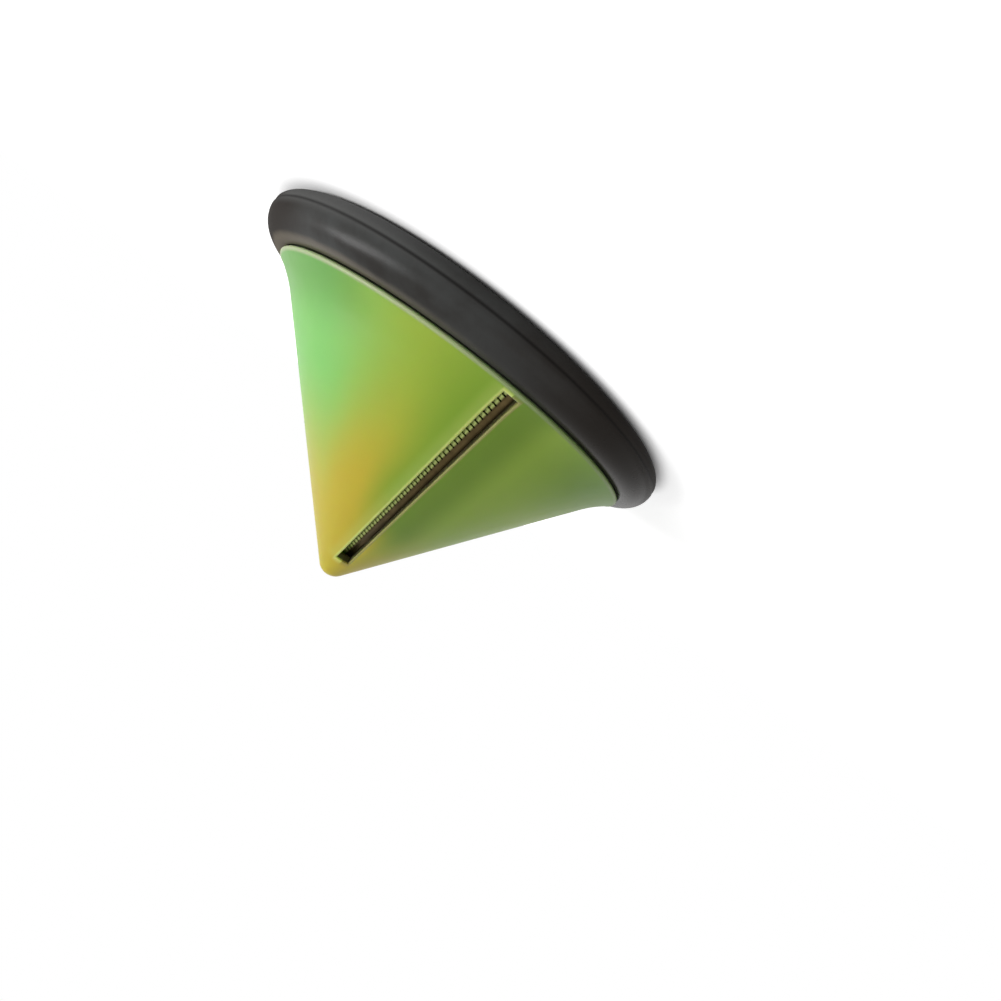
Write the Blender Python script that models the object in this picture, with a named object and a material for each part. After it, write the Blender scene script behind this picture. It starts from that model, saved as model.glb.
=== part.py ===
"""Hand-held spiral fruit cutter: a slotted plastic funnel with a soft grip ring and a serrated blade.

The funnel stands mouth down on its grip ring. The origin is the centre of the ring's resting face,
+Z points to the closed nose, and the slot with the blade faces -Y.
All lengths are in metres and all angles in degrees.
"""
import math

import bmesh
import bpy

# Rim and grip ring
RIM_RADIUS = 0.0525
RIM_STAND = 0.0054
RIM_HEIGHT = 0.0080
RIM_MOUTH_SHARE = 0.35
RIM_NOSE_SHARE = 0.62
GRIP_LIP = 0.0012
GRIP_EDGE_ROUNDING = 0.0004

# Funnel wall, outer face
LIP_BEAD = 0.0004
CONE_HALF_ANGLE = 39.0
FLARE_RADIUS = 0.026
FLARE_TURN = 16.0
NOSE_RADIUS = 0.0040
WALL = 0.0020

# Flange that anchors the funnel in the grip ring
FLANGE_COVER = 0.0039
FLANGE_THICKNESS = 0.0020

# Slot along the cone, from a place down the slope from the sharp apex to a web that the flare keeps
SLOT_TOP = 0.0110
SLOT_WEB = 0.0009
SLOT_WIDTH = 0.0030
SLOT_EDGE_CHAMFER = 0.0003

# Blade: a flat tapered strip behind the slot, toothed along the edge that faces +X
BLADE_THICKNESS = 0.0006
BLADE_STAND = 0.0006
BLADE_BACK_TOP = 0.0052
BLADE_BACK_MOUTH = 0.0085
BLADE_END_LAP = 0.0004
BLADE_CORNER = 0.0008
EDGE_SETBACK = 0.0004
EDGE_THICKNESS = 0.0001
BEVEL_WIDTH = 0.0015
TOOTH_PITCH = 0.00125
TOOTH_DEPTH = 0.0014
TOOTH_TIP = 0.00040
TOOTH_ROOT_RADIUS = 0.00024

# Blade seat, a flat land moulded on the inside of the wall
SEAT_MARGIN_ENDS = 0.0008
SEAT_MARGIN_BACK = 0.0026
SEAT_ROOT_DEPTH = 0.0002

# Countersunk blade rivets in blind holes
RIVET_SHANK_RADIUS = 0.0007
RIVET_HEAD_RADIUS = 0.0012
RIVET_HEAD_HEIGHT = 0.00045
RIVET_HOLE_DEPTH = 0.0011
RIVET_MARGIN_NOSE = 0.0105
RIVET_MARGIN_MOUTH = 0.0082
RIVET_BACK_SHARE = 0.42
RIVET_NAMES = ("blade_rivet_nose", "blade_rivet_middle", "blade_rivet_mouth")

# Clearance between pieces that touch
GAP = 0.0003

# Facets
TURN_STEPS = 96
RIVET_STEPS = 20
OVERSHOOT = 0.004

HALF_ANGLE = math.radians(CONE_HALF_ANGLE)
SIN_A = math.sin(HALF_ANGLE)
COS_A = math.cos(HALF_ANGLE)
TAN_A = math.tan(HALF_ANGLE)

LIP_RADIUS = RIM_RADIUS - RIM_STAND
LIP_BASE = RIM_HEIGHT + GAP
FLARE_END = (LIP_RADIUS - LIP_BEAD, LIP_BASE + 2 * LIP_BEAD)
FLARE_ANGLE = HALF_ANGLE + math.radians(FLARE_TURN)
FLARE_CENTRE = (FLARE_END[0] + FLARE_RADIUS * math.cos(FLARE_ANGLE),
                FLARE_END[1] + FLARE_RADIUS * math.sin(FLARE_ANGLE))
FLARE_START = (FLARE_CENTRE[0] - FLARE_RADIUS * COS_A, FLARE_CENTRE[1] - FLARE_RADIUS * SIN_A)
APEX_HEIGHT = FLARE_START[1] + FLARE_START[0] / TAN_A
COLLAR_RADIUS = LIP_RADIUS - 2 * LIP_BEAD
MOUTH_RADIUS = COLLAR_RADIUS - WALL
COLLAR_END = GRIP_LIP + GAP
FLANGE_RADIUS = RIM_RADIUS - FLANGE_COVER
FLANGE_LOW = (RIM_HEIGHT - FLANGE_THICKNESS) / 2
FLANGE_HIGH = FLANGE_LOW + FLANGE_THICKNESS
NOSE_CENTRE = APEX_HEIGHT - NOSE_RADIUS / SIN_A

FLARE_FROM = FLARE_START[0] / SIN_A
FLARE_TO = FLARE_FROM + FLARE_RADIUS * math.sin(math.radians(FLARE_TURN))
SLOT_MOUTH = FLARE_TO - SLOT_WEB
BLADE_TOP = SLOT_TOP - BLADE_END_LAP
BLADE_MOUTH = SLOT_MOUTH + BLADE_END_LAP
BLADE_OUTER = -(WALL + BLADE_STAND)
BLADE_INNER = BLADE_OUTER - BLADE_THICKNESS
SEAT_FACE = BLADE_OUTER + GAP
EDGE_X = SLOT_WIDTH / 2 - EDGE_SETBACK


def make_material(name, colour, roughness, metallic=0.0):
    """Return a Principled material in one plain colour."""
    material = bpy.data.materials.new(name)
    material.use_nodes = True
    shader = material.node_tree.nodes["Principled BSDF"]
    shader.inputs["Base Color"].default_value = (*colour, 1.0)
    shader.inputs["Roughness"].default_value = roughness
    shader.inputs["Metallic"].default_value = metallic
    return material


def add_object(name, bm, material=None, parent=None):
    """Store a bmesh as a named object, with its faces turned outwards."""
    bmesh.ops.remove_doubles(bm, verts=bm.verts, dist=1e-7)
    bmesh.ops.recalc_face_normals(bm, faces=bm.faces)
    mesh = bpy.data.meshes.new(name)
    bm.to_mesh(mesh)
    bm.free()
    obj = bpy.data.objects.new(name, mesh)
    bpy.context.scene.collection.objects.link(obj)
    obj.parent = parent
    if material:
        mesh.materials.append(material)
    return obj


def arc(centre, radius, start, end, steps):
    """Return points (r, z) along an arc between two angles in degrees, both ends included."""
    points = []
    for i in range(steps + 1):
        angle = math.radians(start + (end - start) * i / steps)
        points.append((centre[0] + radius * math.cos(angle), centre[1] + radius * math.sin(angle)))
    return points


def turned(profile, closed):
    """Spin a profile of (r, z) points round Z into a bmesh."""
    bm = bmesh.new()
    verts = [bm.verts.new((r, 0.0, z)) for r, z in profile]
    pairs = list(zip(verts, verts[1:]))
    if closed:
        pairs.append((verts[-1], verts[0]))
    edges = [bm.edges.new(pair) for pair in pairs]
    bmesh.ops.spin(bm, geom=verts + edges, cent=(0, 0, 0), axis=(0, 0, 1), angle=math.tau,
                   steps=TURN_STEPS, use_merge=True)
    return bm


def prism(outline, low, high):
    """Extrude an outline of (x, y) points from one height to another into a bmesh."""
    bm = bmesh.new()
    base = bm.faces.new([bm.verts.new((x, y, low)) for x, y in outline])
    raised = bmesh.ops.extrude_face_region(bm, geom=[base])
    lifted = [v for v in raised["geom"] if isinstance(v, bmesh.types.BMVert)]
    bmesh.ops.translate(bm, verts=lifted, vec=(0, 0, high - low))
    return bm


def loft(bm, rings):
    """Join rings of vertices into one closed solid with flat ends."""
    bm.faces.new(rings[0])
    bm.faces.new(rings[-1])
    for lower, upper in zip(rings, rings[1:]):
        for i in range(len(lower)):
            j = (i + 1) % len(lower)
            bm.faces.new([lower[i], lower[j], upper[j], upper[i]])


def rounded_corner(corner, before, after, radius, steps=4):
    """Return points that round a corner off between its two neighbours."""
    legs = []
    for other in (before, after):
        dx, dy = other[0] - corner[0], other[1] - corner[1]
        length = math.hypot(dx, dy)
        legs.append((dx / length, dy / length))
    half = math.acos(legs[0][0] * legs[1][0] + legs[0][1] * legs[1][1]) / 2
    reach = radius / math.tan(half)
    points = []
    for i in range(steps + 1):
        t = i / steps
        a, b = (1 - t) ** 2 * reach, t ** 2 * reach
        points.append((corner[0] + legs[0][0] * a + legs[1][0] * b,
                       corner[1] + legs[0][1] * a + legs[1][1] * b))
    return points


def funnel_profile():
    """Section of the funnel from the nose down the outside, under the rim and up the inside."""
    open_angle = CONE_HALF_ANGLE
    outside = arc((0, NOSE_CENTRE), NOSE_RADIUS, 90, open_angle, 6)
    outside[0] = (0.0, outside[0][1])
    outside += arc(FLARE_CENTRE, FLARE_RADIUS, 180 + open_angle, 180 + open_angle + FLARE_TURN, 6)
    outside += arc((FLARE_END[0], LIP_BASE + LIP_BEAD), LIP_BEAD, 60, -90, 4)
    collar = [(COLLAR_RADIUS, LIP_BASE), (COLLAR_RADIUS, FLANGE_HIGH), (FLANGE_RADIUS, FLANGE_HIGH),
              (FLANGE_RADIUS, FLANGE_LOW), (COLLAR_RADIUS, FLANGE_LOW),
              (COLLAR_RADIUS, COLLAR_END), (MOUTH_RADIUS, COLLAR_END)]
    inner_flare = FLARE_RADIUS + WALL
    meet = math.degrees(math.acos((FLARE_CENTRE[0] - MOUTH_RADIUS) / inner_flare))
    inside = arc(FLARE_CENTRE, inner_flare, 180 + meet, 180 + open_angle, 4)
    inside += arc((0, NOSE_CENTRE), NOSE_RADIUS - WALL, open_angle, 90, 4)
    inside[-1] = (0.0, inside[-1][1])
    return outside + collar + inside


def grip_profile():
    """Section of the grip ring, with the groove that the funnel's flange sits in."""
    mouth_side = RIM_HEIGHT * RIM_MOUTH_SHARE
    nose_side = RIM_HEIGHT * RIM_NOSE_SHARE
    bore = COLLAR_RADIUS + GAP
    groove = FLANGE_RADIUS + GAP
    groove_low = FLANGE_LOW - GAP
    groove_high = FLANGE_HIGH + GAP
    soft = GRIP_EDGE_ROUNDING
    points = arc((MOUTH_RADIUS + soft, soft), soft, 180, 270, 2)
    points += arc((RIM_RADIUS - mouth_side, mouth_side), mouth_side, -90, 0, 6)
    points += arc((RIM_RADIUS - nose_side, RIM_HEIGHT - nose_side), nose_side, 0, 90, 8)
    points += arc((bore + soft, RIM_HEIGHT - soft), soft, 90, 180, 2)
    points += [(bore, groove_high), (groove, groove_high), (groove, groove_low), (bore, groove_low),
               (bore, GRIP_LIP), (MOUTH_RADIUS, GRIP_LIP)]
    return points


def back_edge(down):
    """Distance of the blade's back edge from the slot's middle line, at a place down the slope."""
    share = (down - BLADE_TOP) / (BLADE_MOUTH - BLADE_TOP)
    return BLADE_BACK_TOP + (BLADE_BACK_MOUTH - BLADE_BACK_TOP) * share


def tooth_line():
    """Points (x, y) of the toothed edge, from the nose end to the mouth end."""
    room = BLADE_MOUTH - BLADE_TOP
    count = int((room - TOOTH_PITCH / 2) / TOOTH_PITCH)
    first = BLADE_TOP + (room - count * TOOTH_PITCH) / 2
    root_x = EDGE_X - TOOTH_DEPTH + TOOTH_ROOT_RADIUS
    points = [(EDGE_X, -BLADE_TOP)]
    for i in range(count):
        middle = first + (i + 0.5) * TOOTH_PITCH
        points.append((EDGE_X, -(middle - (TOOTH_PITCH - TOOTH_TIP) / 2)))
        for x, along in arc((root_x, 0.0), TOOTH_ROOT_RADIUS, 270, 90, 4):
            points.append((x, -(middle + along)))
        points.append((EDGE_X, -(middle + (TOOTH_PITCH - TOOTH_TIP) / 2)))
    points.append((EDGE_X, -BLADE_MOUTH))
    return points


def blade_top_height(x):
    """Height of the blade's outer face, which the grind slopes down to the thin edge."""
    start = EDGE_X - BEVEL_WIDTH
    share = max(0.0, (x - start) / BEVEL_WIDTH)
    return BLADE_OUTER - (BLADE_THICKNESS - EDGE_THICKNESS) * share


def blade_mesh():
    """Flat strip with a tapered back, rounded back corners, teeth and a ground bevel."""
    bevel_x = EDGE_X - BEVEL_WIDTH
    top_back = (-back_edge(BLADE_TOP), -BLADE_TOP)
    mouth_back = (-back_edge(BLADE_MOUTH), -BLADE_MOUTH)
    top_front = (bevel_x, -BLADE_TOP)
    mouth_front = (bevel_x, -BLADE_MOUTH)
    back = [mouth_front]
    back += rounded_corner(mouth_back, mouth_front, top_back, BLADE_CORNER)
    back += rounded_corner(top_back, mouth_back, top_front, BLADE_CORNER)
    back += [top_front]
    teeth = tooth_line()
    bm = bmesh.new()
    low = [bm.verts.new((x, y, BLADE_INNER)) for x, y in back + teeth]
    high = [bm.verts.new((x, y, blade_top_height(x))) for x, y in back + teeth]
    size = len(back)
    bm.faces.new(low)
    bm.faces.new(high[:size])
    bm.faces.new([high[0], high[size - 1]] + high[size:])
    for i in range(len(low)):
        j = (i + 1) % len(low)
        bm.faces.new([low[i], low[j], high[j], high[i]])
    return bm


def add_cutter(name, bm, parent):
    """Store a bmesh as a hidden guide for a Boolean."""
    cutter = add_object(name, bm, parent=parent)
    cutter.hide_render = True
    cutter.display_type = "WIRE"
    return cutter


def add_boolean(obj, cutter, operation):
    """Combine an object with a guide."""
    modifier = obj.modifiers.new(cutter.name, "BOOLEAN")
    modifier.operation = operation
    modifier.solver = "EXACT"
    modifier.object = cutter


def seat_root(across, down):
    """Height of the middle of the wall that the seat grows from, along the cone, flare and collar."""
    flare = max(0.0, down - FLARE_FROM) ** 2 / (2 * FLARE_RADIUS)
    wall = flare - across ** 2 / (2 * down * TAN_A) - WALL / 2
    collar = (math.sqrt((COLLAR_RADIUS - WALL / 2) ** 2 - across ** 2) - down * SIN_A) / COS_A
    return max(min(wall, collar), BLADE_INNER + SEAT_ROOT_DEPTH)


def seat_mesh():
    """Land that carries the blade, rooted in the wall all the way into the flare."""
    top = BLADE_TOP - GAP - SEAT_MARGIN_ENDS
    mouth = BLADE_MOUTH + GAP + SEAT_MARGIN_ENDS
    bm = bmesh.new()
    rings = []
    for down in (top, FLARE_FROM, mouth):
        back = -(back_edge(down) + GAP + SEAT_MARGIN_BACK * down / mouth)
        corners = [(0.0, BLADE_INNER), (back, BLADE_INNER)]
        corners += [(share * back, seat_root(share * back, down)) for share in (1.0, 0.5, 0.0)]
        rings.append([bm.verts.new((x, -down, height)) for x, height in corners])
    loft(bm, rings)
    return bm


def pocket_outline():
    """Outline of the recess that the blade lies in, open towards the slot."""
    top, mouth = BLADE_TOP - GAP, BLADE_MOUTH + GAP
    front = EDGE_X + GAP
    return [(front, -top), (front, -mouth), (-(back_edge(mouth) + GAP), -mouth),
            (-(back_edge(top) + GAP), -top)]


def slot_mesh():
    """Straight slot whose outer edges are chamfered."""
    half = SLOT_WIDTH / 2
    chamfer = SLOT_EDGE_CHAMFER
    levels = ((BLADE_INNER - OVERSHOOT, 0.0), (-1.5 * chamfer, 0.0), (-0.5 * chamfer, chamfer),
              (OVERSHOOT, chamfer))
    bm = bmesh.new()
    rings = []
    for height, spread in levels:
        side = half + spread
        top, mouth = spread - SLOT_TOP, -SLOT_MOUTH - spread
        corners = [(-side, mouth), (side, mouth), (side, top), (-side, top)]
        rings.append([bm.verts.new((x, y, height)) for x, y in corners])
    loft(bm, rings)
    return bm


def spun_stack(x, y, levels):
    """Round solid about a line through (x, y), from (radius, height) levels bottom to top."""
    bm = bmesh.new()
    rings = []
    for radius, height in levels:
        ring = []
        for i in range(RIVET_STEPS):
            angle = math.tau * i / RIVET_STEPS
            ring.append(bm.verts.new((x + radius * math.cos(angle), y + radius * math.sin(angle), height)))
        rings.append(ring)
    loft(bm, rings)
    return bm


def smooth(obj, angle=30.0):
    """Shade a round piece smooth, with its corners kept sharp."""
    obj.data.shade_smooth()
    obj.data.set_sharp_from_angle(angle=math.radians(angle))


def build():
    """Model every piece of the cutter."""
    for obj in list(bpy.data.objects):
        bpy.data.objects.remove(obj, do_unlink=True)

    funnel_plastic = make_material("funnel_plastic", (0.27, 0.55, 0.17), 0.35)
    grip_rubber = make_material("grip_rubber", (0.022, 0.019, 0.020), 0.5)
    blade_steel = make_material("blade_steel", (0.55, 0.55, 0.53), 0.3, 1.0)
    rivet_steel = make_material("rivet_steel", (0.62, 0.62, 0.60), 0.35, 1.0)

    # Everything at the slot is modelled flat, in a frame laid on the cone's slope:
    # x runs across the slot, -y down the slope from the apex, z out of the wall.
    slope = bpy.data.objects.new("slope", None)
    bpy.context.scene.collection.objects.link(slope)
    slope.location = (0.0, 0.0, APEX_HEIGHT)
    slope.rotation_euler = (math.pi / 2 - HALF_ANGLE, 0.0, 0.0)

    funnel = add_object("funnel_cone", turned(funnel_profile(), closed=False), funnel_plastic)
    smooth(funnel)
    ring = add_object("grip_ring", turned(grip_profile(), closed=True), grip_rubber)
    smooth(ring)

    land = add_cutter("seat_land", seat_mesh(), slope)
    pocket = add_cutter("seat_pocket", prism(pocket_outline(), BLADE_INNER - OVERSHOOT, SEAT_FACE), slope)
    slot = add_cutter("slot_cut", slot_mesh(), slope)
    add_boolean(funnel, land, "UNION")
    add_boolean(funnel, slot, "DIFFERENCE")
    add_boolean(funnel, pocket, "DIFFERENCE")

    blade = add_object("slicing_blade", blade_mesh(), blade_steel, slope)

    head_top = BLADE_INNER + RIVET_HEAD_HEIGHT
    hole_end = SEAT_FACE + RIVET_HOLE_DEPTH
    half = SLOT_WIDTH / 2
    first = BLADE_TOP + RIVET_MARGIN_NOSE
    spacing = (BLADE_MOUTH - RIVET_MARGIN_MOUTH - first) / (len(RIVET_NAMES) - 1)
    for i, name in enumerate(RIVET_NAMES):
        down = first + i * spacing
        x = -(half + (back_edge(down) - half) * RIVET_BACK_SHARE)
        hole_radius = RIVET_SHANK_RADIUS + GAP
        sink_radius = RIVET_HEAD_RADIUS + GAP
        hole = add_cutter(name + "_hole", spun_stack(x, -down, (
            (sink_radius, BLADE_INNER - OVERSHOOT), (sink_radius, BLADE_INNER),
            (hole_radius, head_top), (hole_radius, hole_end))), slope)
        add_boolean(blade, hole, "DIFFERENCE")
        add_boolean(funnel, hole, "DIFFERENCE")
        rivet = add_object(name, spun_stack(x, -down, (
            (RIVET_HEAD_RADIUS, BLADE_INNER), (RIVET_SHANK_RADIUS, head_top),
            (RIVET_SHANK_RADIUS, hole_end - GAP))), rivet_steel, slope)
        smooth(rivet)


build()
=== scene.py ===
"""Spiral fruit cutter as it looks: a frosted green funnel, a soft black grip ring and a toothed blade.

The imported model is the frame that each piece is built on. It is in metres, with the ring's resting face
at Z 0, the closed nose up, the slot on the -Y side and the blade's toothed edge facing +X.
"""

import functools
import logging
import math
from dataclasses import dataclass, field
from enum import Enum
from typing import Callable, Iterable, Optional, Sequence, Union

import bmesh
import bpy
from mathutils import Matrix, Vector


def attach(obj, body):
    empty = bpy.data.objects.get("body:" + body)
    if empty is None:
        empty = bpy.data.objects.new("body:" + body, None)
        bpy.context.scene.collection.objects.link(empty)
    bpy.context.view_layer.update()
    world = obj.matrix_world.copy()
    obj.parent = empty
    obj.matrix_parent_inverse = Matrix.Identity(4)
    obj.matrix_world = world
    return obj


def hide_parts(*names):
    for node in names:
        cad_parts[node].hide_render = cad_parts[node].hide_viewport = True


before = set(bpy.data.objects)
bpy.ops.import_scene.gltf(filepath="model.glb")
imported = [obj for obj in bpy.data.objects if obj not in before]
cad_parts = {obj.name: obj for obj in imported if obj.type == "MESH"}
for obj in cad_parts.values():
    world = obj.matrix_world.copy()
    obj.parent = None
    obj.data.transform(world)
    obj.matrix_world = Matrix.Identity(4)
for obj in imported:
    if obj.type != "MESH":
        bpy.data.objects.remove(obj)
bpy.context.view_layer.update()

LOG = logging.getLogger("cutter")
BODY = "root"
MM = 0.001
WELD = 1e-6

Point = tuple[float, float, float]
Pair = tuple[float, float]
Colour = tuple[float, float, float]
Socket = bpy.types.NodeSocket
Value = Union[float, Point, Socket]


class Fuse(Enum):
    """How a tool acts on the solid that it meets."""

    ADD = "UNION"
    CUT = "DIFFERENCE"


class Bench:
    """Modelling steps that the pieces share, each made of Blender's own operators."""

    @staticmethod
    def clear() -> None:
        """Leave nothing selected, so that an operator acts on the new piece alone."""
        bpy.ops.object.select_all(action="DESELECT")

    @staticmethod
    def take(obj: bpy.types.Object) -> None:
        """Make one object the selected and active one.

        Args:
            obj: the object.
        """
        Bench.clear()
        obj.hide_set(False)
        obj.select_set(True)
        bpy.context.view_layer.objects.active = obj

    @staticmethod
    def edit(obj: bpy.types.Object, mode: str = "VERT") -> None:
        """Open one object in edit mode, with vertices, edges or faces to select.

        Args:
            obj: the object.
            mode: VERT, EDGE or FACE.
        """
        Bench.take(obj)
        bpy.ops.object.mode_set(mode="EDIT")
        bpy.ops.mesh.select_mode(type=mode)

    @staticmethod
    def close() -> None:
        """Go back to object mode."""
        bpy.ops.object.mode_set(mode="OBJECT")

    @staticmethod
    def pick(obj: bpy.types.Object, test: Callable[[Vector], bool]) -> None:
        """Select the vertices of the object in edit mode whose place passes a test.

        Args:
            obj: the object that is open in edit mode.
            test: says whether a vertex at this place is taken.
        """
        bm = bmesh.from_edit_mesh(obj.data)
        for vert in bm.verts:
            vert.select_set(test(vert.co))
        bm.select_flush(False)
        bm.select_flush(True)
        bmesh.update_edit_mesh(obj.data)

    @staticmethod
    def trace(name: str, points: Sequence[Point]) -> bpy.types.Object:
        """Draw a line through points by extruding one vertex again and again.

        Args:
            name: the object's name.
            points: the line's points.

        Returns:
            The object, with the line as its edges.
        """
        Bench.clear()
        bpy.ops.mesh.primitive_plane_add(size=MM, location=(0.0, 0.0, 0.0))
        obj = bpy.context.object
        obj.name = name
        Bench.edit(obj)
        bpy.ops.mesh.select_all(action="SELECT")
        bpy.ops.mesh.merge(type="CENTER")
        bpy.ops.transform.translate(value=points[0])
        for before, after in zip(points, points[1:]):
            step = [b - a for a, b in zip(before, after)]
            bpy.ops.mesh.extrude_vertices_move(TRANSFORM_OT_translate={"value": step})
        Bench.close()
        return obj

    @staticmethod
    def turn(name: str, profile: Sequence[Pair], steps: int) -> bpy.types.Object:
        """Spin a traced section of (radius, height) points round Z into a closed solid.

        Args:
            name: the object's name.
            profile: the section's points, ending on the axis or where it began.
            steps: how many sides the solid has.

        Returns:
            The solid.
        """
        obj = Bench.trace(name, [(radius, 0.0, height) for radius, height in profile])
        Bench.edit(obj)
        bpy.ops.mesh.select_all(action="SELECT")
        bpy.ops.mesh.spin(steps=steps, angle=math.tau, center=(0, 0, 0), axis=(0, 0, 1))
        Bench.close()
        Bench.weld(obj)
        return obj

    @staticmethod
    def weld(obj: bpy.types.Object, reach: float = WELD) -> None:
        """Merge doubled vertices and turn the faces outwards.

        Args:
            obj: the object.
            reach: vertices nearer than this become one.
        """
        Bench.edit(obj)
        bpy.ops.mesh.select_all(action="SELECT")
        bpy.ops.mesh.remove_doubles(threshold=reach)
        bpy.ops.mesh.normals_make_consistent(inside=False)
        Bench.close()

    @staticmethod
    def loft(name: str, rings: Sequence[Sequence[Point]]) -> bpy.types.Object:
        """Bridge traced outlines, one after the other, into a closed solid with flat ends.

        Args:
            name: the object's name.
            rings: the outlines, all with as many points and starting at the same corner.

        Returns:
            The closed solid.
        """
        loops = [Bench.trace(name, list(ring) + [ring[0]]) for ring in rings]
        Bench.clear()
        for loop in loops:
            loop.select_set(True)
        bpy.context.view_layer.objects.active = loops[0]
        bpy.ops.object.join()
        obj = bpy.context.object
        Bench.weld(obj)
        size = len(rings[0])
        for first in range(0, size * (len(rings) - 1), size):
            Bench._span(obj, range(first, first + 2 * size))
            bpy.ops.mesh.bridge_edge_loops()
            Bench.close()
        for first in (0, size * (len(rings) - 1)):
            Bench._span(obj, range(first, first + size))
            bpy.ops.mesh.edge_face_add()
            Bench.close()
        Bench.weld(obj)
        return obj

    @staticmethod
    def _span(obj: bpy.types.Object, indices: Iterable[int]) -> None:
        """Open a mesh with only the vertices of these numbers, and the edges between them, selected.

        Args:
            obj: the object.
            indices: the vertices' numbers.
        """
        wanted = set(indices)
        Bench.edit(obj)
        bm = bmesh.from_edit_mesh(obj.data)
        bm.verts.ensure_lookup_table()
        for edge in bm.edges:
            edge.select_set(False)
        for vert in bm.verts:
            vert.select_set(vert.index in wanted)
        bm.select_flush(True)
        bmesh.update_edit_mesh(obj.data)

    @staticmethod
    def fuse(target: bpy.types.Object, tool: bpy.types.Object, how: Fuse) -> None:
        """Join a tool to a solid, or cut it out of the solid, apply that and drop the tool.

        Args:
            target: the solid that is kept.
            tool: the solid that is used up.
            how: whether the tool is added or cut out.
        """
        Bench.take(target)
        modifier = target.modifiers.new(tool.name, "BOOLEAN")
        modifier.operation = how.value
        modifier.solver = "EXACT"
        modifier.object = tool
        bpy.ops.object.modifier_apply(modifier=modifier.name)
        bpy.data.objects.remove(tool, do_unlink=True)

    @staticmethod
    def bevel(obj: bpy.types.Object, width: float, steps: int, angle: float) -> None:
        """Round a piece's sharp edges with an applied Bevel modifier.

        Args:
            obj: the piece.
            width: how far the rounding reaches.
            steps: how many faces it has.
            angle: edges that turn more than this, in degrees, are rounded.
        """
        Bench.take(obj)
        modifier = obj.modifiers.new("edges", "BEVEL")
        modifier.width = width
        modifier.segments = steps
        modifier.limit_method = "ANGLE"
        modifier.angle_limit = math.radians(angle)
        bpy.ops.object.modifier_apply(modifier=modifier.name)

    @staticmethod
    def smooth(obj: bpy.types.Object, angle: float = 30.0) -> None:
        """Shade a piece smooth, with corners over an angle in degrees kept sharp."""
        Bench.take(obj)
        bpy.ops.object.shade_smooth_by_angle(angle=math.radians(angle))

    @staticmethod
    def even(obj: bpy.types.Object) -> None:
        """Let the large faces of a cut piece set its shading, with an applied Weighted Normal modifier.

        Args:
            obj: the piece.
        """
        Bench.take(obj)
        modifier = obj.modifiers.new("even", "WEIGHTED_NORMAL")
        modifier.keep_sharp = True
        bpy.ops.object.modifier_apply(modifier=modifier.name)

    @staticmethod
    def settle(obj: bpy.types.Object) -> None:
        """Put an object's place, turn and scale into its mesh."""
        Bench.take(obj)
        bpy.ops.object.transform_apply(location=True, rotation=True, scale=True)

    @staticmethod
    def twin(obj: bpy.types.Object, name: str) -> bpy.types.Object:
        """Copy a piece together with its mesh.

        Args:
            obj: the piece.
            name: the copy's name.

        Returns:
            The copy.
        """
        Bench.take(obj)
        bpy.ops.object.duplicate()
        copy = bpy.context.object
        copy.name = name
        copy.data.name = name
        return copy


def arc(centre: Pair, radius: float, start: float, end: float, steps: int) -> list[Pair]:
    """Points along an arc between two angles in degrees, both ends included.

    Args:
        centre: the arc's centre.
        radius: its radius.
        start: the first point's angle.
        end: the last point's angle.
        steps: how many straight steps stand for the arc.

    Returns:
        The points.
    """
    points = []
    for i in range(steps + 1):
        angle = math.radians(start + (end - start) * i / steps)
        points.append((centre[0] + radius * math.cos(angle), centre[1] + radius * math.sin(angle)))
    return points


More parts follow.
